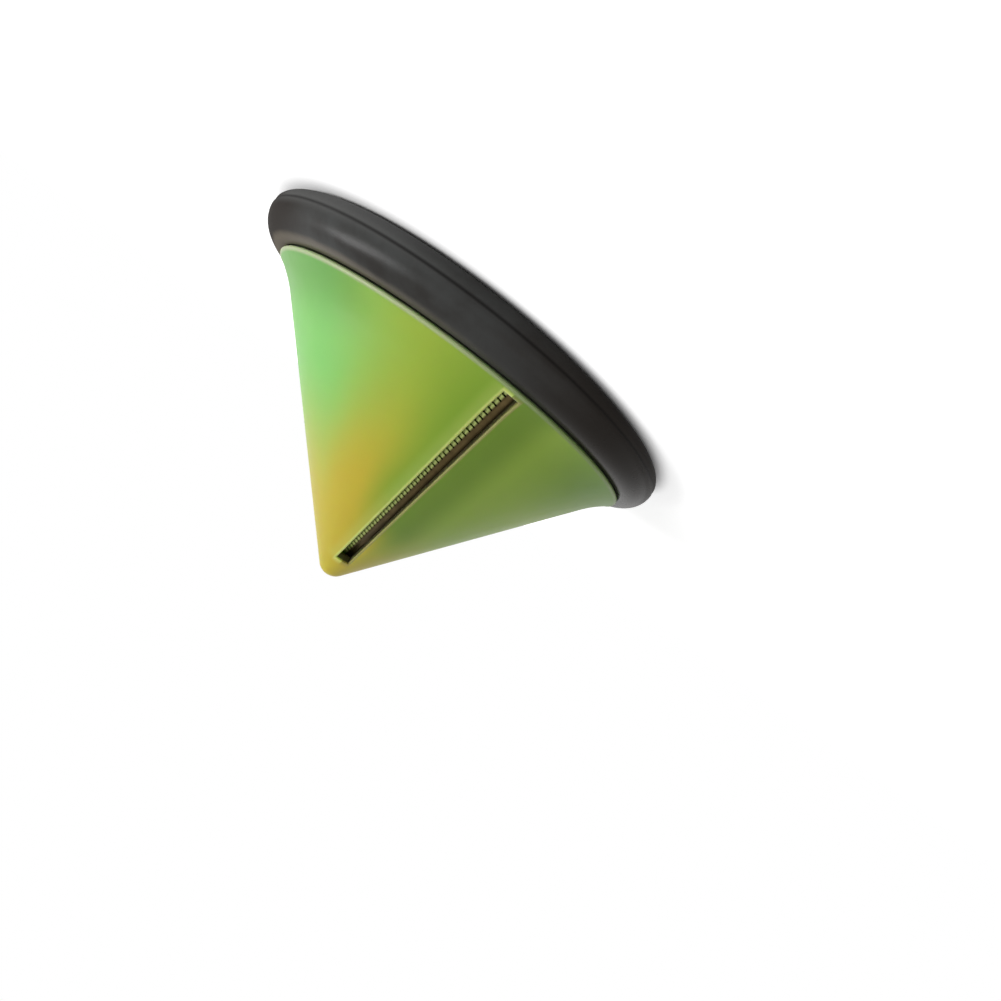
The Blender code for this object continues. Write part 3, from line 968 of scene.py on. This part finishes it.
@dataclass
class Funnel:
    """The moulded funnel: cone, flared lip, flange, slot and the seat that carries the blade."""

    form: Form = field(default_factory=Form)
    turn_steps: int = 240
    cone_steps: int = 26
    lip_rounding: float = 0.00045
    far_rounding: float = 0.00035
    gate_radius: float = 0.0009
    gate_depth: float = 0.00018
    gate_steps: tuple[Pair, ...] = ((0.00035, 1.0), (0.00012, 0.6), (0.00003, 0.15))
    seat_margin_ends: float = 0.0008
    seat_margin_back: float = 0.0026
    seat_root: float = 0.0002
    overshoot: float = 0.004
    slot_stations: tuple[float, ...] = (0.014, 0.018, 0.024, 0.034, 0.048)
    flare_shares: tuple[float, ...] = (0.35, 0.7, 1.0)
    finish: FrostedPlastic = field(default_factory=FrostedPlastic)

    def section(self) -> list[Pair]:
        """Section of the funnel from the nose down the outside, under the rim and up the inside.

        Returns:
            The section's (radius, height) points, both ends on the axis.
        """
        form = self.form
        centre = form.apex - form.nose_radius / form.sin
        top = centre + math.sqrt(form.nose_radius ** 2 - self.gate_radius ** 2)
        gate = [(0.0, top - self.gate_depth)]
        gate += [(self.gate_radius - inset, top - share * self.gate_depth) for inset, share in self.gate_steps]
        rise = math.degrees(math.acos(self.gate_radius / form.nose_radius))
        points = gate + arc((0.0, centre), form.nose_radius, rise, form.half_angle, 10)
        points += self.straight(points[-1], form.flare_start)
        points += arc(form.flare_centre, form.flare_radius, 180 + form.half_angle,
                      180 + form.half_angle + form.flare_turn, 10)
        points += arc((form.flare_end[0], form.lip_base + form.lip_bead), form.lip_bead, 60, -90, 8)
        high = form.flange_low + form.flange_thickness
        points += [(form.collar_radius, form.lip_base), (form.collar_radius, high),
                   (form.flange_radius, high), (form.flange_radius, form.flange_low),
                   (form.collar_radius, form.flange_low)]
        low = form.grip_lip + form.gap
        points += [(form.collar_radius, low), (form.mouth_radius, low)]
        inner = form.flare_radius + form.wall
        meet = math.degrees(math.acos((form.flare_centre[0] - form.mouth_radius) / inner))
        points += arc(form.flare_centre, inner, 180 + meet, 180 + form.half_angle, 8)
        points += arc((0.0, centre), form.nose_radius - form.wall, form.half_angle, 90, 6)
        points[-1] = (0.0, points[-1][1])
        return points

    def straight(self, start: Pair, end: Pair) -> list[Pair]:
        """Points between two ends of the straight wall, closer together towards the nose."""
        shares = [(i / self.cone_steps) ** 1.3 for i in range(1, self.cone_steps)]
        return [(start[0] + (end[0] - start[0]) * s, start[1] + (end[1] - start[1]) * s) for s in shares]

    def root(self, across: float, down: float) -> float:
        """Height of the middle of the wall that the land grows from, along cone, flare and collar.

        Args:
            across: distance from the slot's middle line.
            down: distance down the slope from the sharp apex.

        Returns:
            The height over the slope plane.
        """
        form = self.form
        wall = form.surface(across, down) - form.wall / 2
        reach = math.sqrt((form.collar_radius - form.wall / 2) ** 2 - across ** 2)
        return max(min(wall, (reach - down * form.sin) / form.cos), form.blade_inner + self.seat_root)

    def land(self) -> bpy.types.Object:
        """Flat land on the inside of the wall, rooted in the cone, its flare and the collar.

        Returns:
            The land.
        """
        form = self.form
        top = form.blade_top - form.gap - self.seat_margin_ends
        mouth = form.blade_mouth + form.gap + self.seat_margin_ends
        rings = []
        for down in (top, form.flare_from, mouth):
            back = -(form.back_edge(down) + form.gap + self.seat_margin_back * down / mouth)
            ring = [(0.0, form.blade_inner), (back, form.blade_inner)]
            ring += [(share * back, self.root(share * back, down)) for share in (1.0, 0.5, 0.0)]
            rings.append([(x, -down, out) for x, out in ring])
        return form.lay(Bench.loft("seat_land", rings))

    def lip_line(self, side: int, down: float, steps: int = 4) -> list[Pair]:
        """Rounding of one lip in the slot's section, as (across, out) points from the slot outwards.

        Args:
            side: 1 for the lip that the teeth face, -1 for the other.
            down: distance down the slope from the sharp apex.
            steps: how many straight steps it has.

        Returns:
            The points.
        """
        form = self.form
        radius = self.lip_rounding if side > 0 else self.far_rounding
        half = form.slot_width / 2
        height = form.surface(half + radius, down)
        points = arc((half + radius, height - radius), radius, 180, 90, steps)
        return [(side * across, out) for across, out in points]

    def slot_tool(self) -> bpy.types.Object:
        """Tool that cuts the slot and rounds both of its lips, along the cone and into the flare.

        Returns:
            The tool.
        """
        form = self.form
        half = form.slot_width / 2
        span = form.slot_mouth - form.flare_from
        stations = [form.slot_top, *self.slot_stations, form.flare_from]
        stations += [form.flare_from + span * share for share in self.flare_shares]
        rings = []
        for down in stations:
            near = self.lip_line(1, down)
            far = self.lip_line(-1, down)
            low = form.blade_inner - self.overshoot
            ring = [(-half, low), (half, low)] + near
            ring += [(near[-1][0], self.overshoot), (far[-1][0], self.overshoot)] + far[::-1]
            rings.append([(across, -down, out) for across, out in ring])
        return form.lay(Bench.loft("slot_tool", rings))

    def pocket_tool(self) -> bpy.types.Object:
        """Tool that cuts the recess that the blade lies in, open towards the slot.

        Returns:
            The tool.
        """
        form = self.form
        top, mouth = form.blade_top - form.gap, form.blade_mouth + form.gap
        front = form.edge_x + form.gap
        outline = [(front, -top), (front, -mouth), (-(form.back_edge(mouth) + form.gap), -mouth),
                   (-(form.back_edge(top) + form.gap), -top)]
        rings = [[(x, y, out) for x, y in outline]
                 for out in (form.blade_inner - self.overshoot, form.seat_face)]
        return form.lay(Bench.loft("pocket_tool", rings))

    def build(self, rivets: "RivetRow") -> bpy.types.Object:
        """Model and dress the funnel.

        Args:
            rivets: the row of rivets, whose blind holes go into the seat.

        Returns:
            The finished piece.
        """
        body = Bench.turn("funnel_body", self.section(), self.turn_steps)
        Bench.fuse(body, self.land(), Fuse.ADD)
        Bench.fuse(body, self.slot_tool(), Fuse.CUT)
        Bench.fuse(body, self.pocket_tool(), Fuse.CUT)
        for tool in rivets.hole_tools():
            Bench.fuse(body, tool, Fuse.CUT)
        Bench.weld(body)
        Bench.smooth(body, 32.0)
        Bench.even(body)
        return Dresser.hand_over(body, self.finish.make(self.form), "funnel_cone", "funnel_plastic")


@dataclass
class GripRing:
    """The soft ring moulded over the funnel's flange, with a shallow crease round its outer face."""

    form: Form = field(default_factory=Form)
    turn_steps: int = 256
    edge_rounding: float = 0.0004
    crease_half: float = 0.00110
    crease_step: float = 0.00022
    crease_depth: float = 0.00012
    finish: SoftRubber = field(default_factory=SoftRubber)

    def section(self) -> list[Pair]:
        """Closed section of the ring, with the groove that the flange sits in.

        Returns:
            The section's (radius, height) points.
        """
        form = self.form
        mouth_side = form.rim_height * form.rim_mouth_share
        nose_side = form.rim_height * form.rim_nose_share
        bore = form.collar_radius + form.gap
        groove = form.flange_radius + form.gap
        low = form.flange_low - form.gap
        high = form.flange_low + form.flange_thickness + form.gap
        soft = self.edge_rounding
        outside = arc((form.rim_radius - mouth_side, mouth_side), mouth_side, -90, 0, 36)
        outside += arc((form.rim_radius - nose_side, form.rim_height - nose_side), nose_side, 0, 90, 60)
        middle = form.rim_height - nose_side
        points = arc((form.mouth_radius + soft, soft), soft, 180, 270, 5)
        for radius, height in outside:
            reach = self.crease_half if height < middle else self.crease_step
            away = min(1.0, abs(height - middle) / reach)
            points.append((radius - self.crease_depth * (1.0 + math.cos(math.pi * away)) / 2, height))
        points += arc((bore + soft, form.rim_height - soft), soft, 90, 180, 5)
        points += [(bore, high), (groove, high), (groove, low), (bore, low),
                   (bore, form.grip_lip), (form.mouth_radius, form.grip_lip)]
        return points + [points[0]]

    def build(self) -> bpy.types.Object:
        """Model and dress the ring."""
        ring = Bench.turn("grip_ring_soft", self.section(), self.turn_steps)
        Bench.smooth(ring, 40.0)
        return Dresser.hand_over(ring, self.finish.make(self.form), "grip_ring", "grip_rubber")


@dataclass
class Blade:
    """The tapered steel strip behind the slot, with a ground bevel and round gullets between teeth."""

    form: Form = field(default_factory=Form)
    bevel_width: float = 0.0015
    edge_thickness: float = 0.0001
    corner: float = 0.0008
    tooth_pitch: float = 0.00125
    tooth_depth: float = 0.0014
    tooth_tip: float = 0.00040
    gullet_radius: float = 0.00024
    gullet_slant: float = 0.22
    gullet_reach: float = 0.85
    overrun: float = 0.0006
    burr: float = 0.00004
    finish: BladeSteel = field(default_factory=BladeSteel)

    def strip(self) -> bpy.types.Object:
        """The strip with its taper and bevel, before the teeth are cut.

        Returns:
            The strip, in the flat drawing.
        """
        form = self.form
        start = form.edge_x - self.bevel_width
        rings = []
        for down in (form.blade_top, form.blade_mouth):
            back = -form.back_edge(down)
            ring = [(back, form.blade_inner), (form.edge_x, form.blade_inner),
                    (form.edge_x, form.blade_inner + self.edge_thickness),
                    (start, form.blade_outer), (back, form.blade_outer)]
            rings.append([(x, -down, out) for x, out in ring])
        strip = Bench.loft("blade_strip", rings)
        Bench.edit(strip, "EDGE")
        Bench.pick(strip, lambda co: co.x < -form.blade_back_top + 0.1 * MM)
        bm = bmesh.from_edit_mesh(strip.data)
        for edge in bm.edges:
            upright = abs(edge.verts[0].co.z - edge.verts[1].co.z) > 0.5 * form.blade_thickness
            edge.select_set(edge.select and upright)
        bmesh.update_edit_mesh(strip.data)
        bpy.ops.mesh.bevel(offset=self.corner, segments=6, affect="EDGES")
        Bench.close()
        return strip

    def gullets(self) -> bpy.types.Object:
        """One tool with all the gullets, round at the root and narrower inside, copied by an array.

        Returns:
            The tool, in the flat drawing.
        """
        form = self.form
        room = form.blade_mouth - form.blade_top
        count = int((room - self.tooth_pitch / 2) / self.tooth_pitch)
        first = form.blade_top + (room - count * self.tooth_pitch) / 2 + self.tooth_pitch / 2
        root = form.edge_x - self.tooth_depth + self.gullet_radius
        mouth = (self.tooth_pitch - self.tooth_tip) / 2
        widen = 1.0 + (mouth / self.gullet_radius - 1.0) * (1.0 + self.overrun / self.tooth_depth)
        end = form.edge_x + self.overrun
        middle = (form.blade_outer + form.blade_inner) / 2
        Bench.clear()
        bpy.ops.mesh.primitive_cylinder_add(vertices=24, radius=self.gullet_radius,
                                            depth=form.blade_thickness + 0.1 * MM,
                                            location=(root, -first, middle))
        tool = bpy.context.object
        Bench.settle(tool)
        Bench.edit(tool, "FACE")
        bm = bmesh.from_edit_mesh(tool.data)
        for face in bm.faces:
            face.select_set(face.normal.x > 0.05 and abs(face.normal.z) < 0.5)
        bmesh.update_edit_mesh(tool.data)
        bpy.ops.mesh.extrude_region_move(TRANSFORM_OT_translate={
            "value": (end - root - self.gullet_radius, 0, 0)})
        bpy.ops.transform.resize(value=(0.0, widen, 1.0), center_override=(end, -first, middle))
        Bench.pick(tool, lambda co: co.z < middle)
        bpy.ops.transform.resize(value=(self.gullet_reach, self.gullet_slant, 1.0),
                                 center_override=(end, -first, middle))
        Bench.close()
        Bench.weld(tool)
        array = tool.modifiers.new("row", "ARRAY")
        array.count = count
        array.use_relative_offset = False
        array.use_constant_offset = True
        array.constant_offset_displace = (0.0, -self.tooth_pitch, 0.0)
        Bench.take(tool)
        bpy.ops.object.modifier_apply(modifier=array.name)
        return tool

    def build(self, rivets: "RivetRow") -> bpy.types.Object:
        """Model and dress the blade.

        Args:
            rivets: the row of rivets, whose countersunk holes go through the blade.

        Returns:
            The finished piece.
        """
        blade = self.strip()
        blade.name = "blade_serrated"
        Bench.fuse(blade, self.gullets(), Fuse.CUT)
        self.form.lay(blade)
        for tool in rivets.hole_tools():
            Bench.fuse(blade, tool, Fuse.CUT)
        Bench.weld(blade)
        Bench.bevel(blade, self.burr, 2, 35.0)
        Bench.smooth(blade, 30.0)
        material = self.finish.make(self.form, self.tooth_depth)
        return Dresser.hand_over(blade, material, "slicing_blade", "blade_steel")


@dataclass
class RivetRow:
    """Three countersunk rivets in blind holes that hold the blade on its seat."""

    form: Form = field(default_factory=Form)
    shank_radius: float = 0.0007
    head_radius: float = 0.0012
    head_height: float = 0.00045
    hole_depth: float = 0.0011
    margin_nose: float = 0.0105
    margin_mouth: float = 0.0082
    back_share: float = 0.42
    dimple_radius: float = 0.00045
    dimple_depth: float = 0.00015
    tip_chamfer: float = 0.00012
    head_edge: float = 0.00006
    names: tuple[str, ...] = ("blade_rivet_nose", "blade_rivet_middle", "blade_rivet_mouth")
    finish: RivetSteel = field(default_factory=RivetSteel)

    def places(self) -> list[Pair]:
        """Place of each rivet in the flat drawing, as (across, down) from the apex.

        Returns:
            The places.
        """
        form = self.form
        first = form.blade_top + self.margin_nose
        spacing = (form.blade_mouth - self.margin_mouth - first) / (len(self.names) - 1)
        half = form.slot_width / 2
        found = []
        for i in range(len(self.names)):
            down = first + i * spacing
            found.append((-(half + (form.back_edge(down) - half) * self.back_share), down))
        return found

    def stack(self, name: str, place: Pair, levels: Sequence[Pair], sides: int) -> bpy.types.Object:
        """Round solid on the slope through (radius, height) levels, from bottom to top.

        Args:
            name: the object's name.
            place: its middle, as (across, down).
            levels: the levels.
            sides: how many sides each level has.

        Returns:
            The solid, in its place on the cone.
        """
        across, down = place
        rings = []
        for radius, height in levels:
            ring = arc((across, -down), radius, 0, 360 - 360 / sides, sides - 1)
            rings.append([(x, y, height) for x, y in ring])
        return self.form.lay(Bench.loft(name, rings))

    def hole_tools(self) -> list[bpy.types.Object]:
        """Tools for the countersunk holes through the blade and into the seat.

        Returns:
            The tools.
        """
        form = self.form
        hole, sink = self.shank_radius + form.gap, self.head_radius + form.gap
        end = form.seat_face + self.hole_depth
        levels = ((sink, form.blade_inner - 4 * MM), (sink, form.blade_inner),
                  (hole, form.blade_inner + self.head_height), (hole, end))
        return [self.stack(name + "_hole", place, levels, 32)
                for name, place in zip(self.names, self.places())]

    def build(self) -> list[bpy.types.Object]:
        """Model one rivet, with the set's dimple in its head, and copy it to each place.

        Returns:
            The rivets.
        """
        form = self.form
        low = form.blade_inner
        tip = form.seat_face + self.hole_depth - form.gap
        levels = ((0.12 * MM, low + self.dimple_depth),
                  (0.6 * self.dimple_radius, low + 0.8 * self.dimple_depth), (self.dimple_radius, low),
                  (self.head_radius - self.head_edge, low), (self.head_radius, low + self.head_edge),
                  (self.shank_radius, low + self.head_height), (self.shank_radius, tip - self.tip_chamfer),
                  (self.shank_radius - self.tip_chamfer, tip))
        places = self.places()
        first = self.stack(self.names[0], places[0], levels, 40)
        Bench.smooth(first, 35.0)
        material = self.finish.make(form)
        made = [first]
        for name, place in zip(self.names[1:], places[1:]):
            copy = Bench.twin(first, name)
            across, down = place[0] - places[0][0], place[1] - places[0][1]
            copy.location = (across, -down * form.sin, -down * form.cos)
            Bench.settle(copy)
            made.append(copy)
        for obj, name in zip(made, self.names):
            obj.name = name + "_set"
            Dresser.hand_over(obj, material, name, "rivet_steel")
        return made


class Dresser:
    """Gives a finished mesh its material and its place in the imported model."""

    @staticmethod
    def hand_over(obj: bpy.types.Object, material: bpy.types.Material, node: str,
                  slot: str) -> bpy.types.Object:
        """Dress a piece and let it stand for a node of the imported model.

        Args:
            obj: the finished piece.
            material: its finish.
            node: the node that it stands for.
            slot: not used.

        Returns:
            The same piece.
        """
        obj.data.materials.clear()
        obj.data.materials.append(material)
        obj.data.name = obj.name
        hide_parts(node)
        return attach(obj, BODY)


@dataclass(frozen=True)
class Lamp:
    """A soft flat lamp that faces the cutter."""

    name: str
    azimuth: float
    elevation: float
    distance: float
    width: float
    height: float
    power: float

    def place(self, target: Vector) -> bpy.types.Object:
        """Hang the lamp and turn it to a target.

        Args:
            target: the point that it faces.

        Returns:
            The lamp.
        """
        data = bpy.data.lights.new(self.name, "AREA")
        data.shape = "RECTANGLE"
        data.size = self.width
        data.size_y = self.height
        data.energy = self.power
        lamp = bpy.data.objects.new(self.name, data)
        bpy.context.scene.collection.objects.link(lamp)
        turn, rise = math.radians(self.azimuth), math.radians(self.elevation)
        way = Vector((math.cos(turn) * math.cos(rise), math.sin(turn) * math.cos(rise), math.sin(rise)))
        lamp.location = target + way * self.distance
        lamp.rotation_euler = (-way).to_track_quat("-Z", "Y").to_euler()
        return lamp


@dataclass
class Studio:
    """Pale floor, white surroundings, soft lamps and the camera at the photograph's angle."""

    lens: float = 17.622
    camera_place: Point = (0.01989, -0.12231, 0.02570)
    camera_turn: Point = (-88.629, 35.586, -158.664)
    floor_size: float = 8.0
    floor_colour: Colour = (0.80, 0.80, 0.80)
    floor_glow: float = 0.58
    far_glow: float = 0.40
    glow_from: float = 0.055
    far_from: float = 0.12
    far_to: float = 0.60
    surround: float = 0.34
    lamps: tuple[Lamp, ...] = (
        Lamp("key", -7.0, 30.0, 0.55, 0.32, 0.13, 2.4),
        Lamp("fill", -112.0, 24.0, 0.70, 0.60, 0.60, 1.0),
    )

    def camera(self) -> None:
        """Set up the camera."""
        data = bpy.data.cameras.new("camera")
        data.sensor_width = 36.0
        data.lens = self.lens
        data.clip_start = 0.01
        camera = bpy.data.objects.new("camera", data)
        bpy.context.scene.collection.objects.link(camera)
        camera.location = self.camera_place
        camera.rotation_euler = [math.radians(angle) for angle in self.camera_turn]
        bpy.context.scene.camera = camera

    def floor(self) -> None:
        """Lay a pale floor that shows white to the camera and still takes the cutter's shadow."""
        Bench.clear()
        bpy.ops.mesh.primitive_plane_add(size=self.floor_size, location=(0.0, 0.0, -0.2 * MM))
        floor = bpy.context.object
        floor.name = "floor"
        sheet = Sheet("pale_floor")
        sheet.finish(Base_Color=self.floor_colour, Roughness=0.9)
        away = sheet.node("ShaderNodeVectorMath", i0=sheet.place)
        away.operation = "LENGTH"
        reach = away.outputs["Value"]
        near = sheet.band(reach, self.glow_from - 5 * MM, self.glow_from, 0.0, self.floor_glow)
        far = sheet.band(reach, self.far_from, self.far_to, 0.0, self.far_glow)
        lit = sheet.node("ShaderNodeEmission", Color=(1.0, 1.0, 1.0), Strength=sheet.math("ADD", near, far))
        both = sheet.node("ShaderNodeAddShader", i0=sheet.shader.outputs[0], i1=lit.outputs[0])
        clear = sheet.node("ShaderNodeBsdfTransparent")
        path = sheet.node("ShaderNodeLightPath")
        seen = sheet.node("ShaderNodeMixShader", i0=path.outputs["Is Camera Ray"], i1=sheet.shader.outputs[0],
                          i2=both.outputs[0])
        under = sheet.node("ShaderNodeNewGeometry").outputs["Backfacing"]
        last = sheet.node("ShaderNodeMixShader", i0=under, i1=seen.outputs[0], i2=clear.outputs[0])
        sheet.set(sheet.output.inputs["Surface"], last.outputs[0])
        floor.data.materials.append(sheet.material)

    def world(self) -> None:
        """Light the cutter evenly from all round, with plain white where the camera sees past it."""
        world = bpy.data.worlds.new("studio")
        bpy.context.scene.world = world
        world.use_nodes = True
        tree = world.node_tree
        back = tree.nodes["Background"]
        back.inputs["Color"].default_value = (1.0, 1.0, 1.0, 1.0)
        path = tree.nodes.new("ShaderNodeLightPath")
        seen = path.outputs["Is Camera Ray"]
        for kind in ("Is Glossy Ray", "Is Transmission Ray"):
            either = tree.nodes.new("ShaderNodeMath")
            either.operation = "MAXIMUM"
            tree.links.new(seen, either.inputs[0])
            tree.links.new(path.outputs[kind], either.inputs[1])
            seen = either.outputs[0]
        strength = tree.nodes.new("ShaderNodeMapRange")
        strength.inputs["To Min"].default_value = self.surround
        strength.inputs["To Max"].default_value = 1.0
        tree.links.new(seen, strength.inputs["Value"])
        tree.links.new(strength.outputs[0], back.inputs["Strength"])

    def build(self) -> None:
        """Set up floor, surroundings, lamps, camera and the plain view settings."""
        self.floor()
        self.world()
        target = Vector((0.0, 0.0, 0.02))
        for lamp in self.lamps:
            lamp.place(target)
        self.camera()
        bpy.context.scene.view_settings.view_transform = "Standard"


def report(obj: bpy.types.Object) -> None:
    """Log one finished piece with its face count and its size in millimetres."""
    size = " x ".join(f"{side / MM:.2f}" for side in obj.dimensions)
    LOG.info("%s: %d faces, %s mm", obj.name, len(obj.data.polygons), size)


def main() -> None:
    """Build the cutter piece by piece, then the studio."""
    logging.basicConfig(level=logging.INFO, format="%(message)s")
    form = Form()
    rivets = RivetRow(form)
    report(Funnel(form).build(rivets))
    report(GripRing(form).build())
    report(Blade(form).build(rivets))
    for rivet in rivets.build():
        report(rivet)
    Studio().build()


if __name__ == "__main__":
    main()
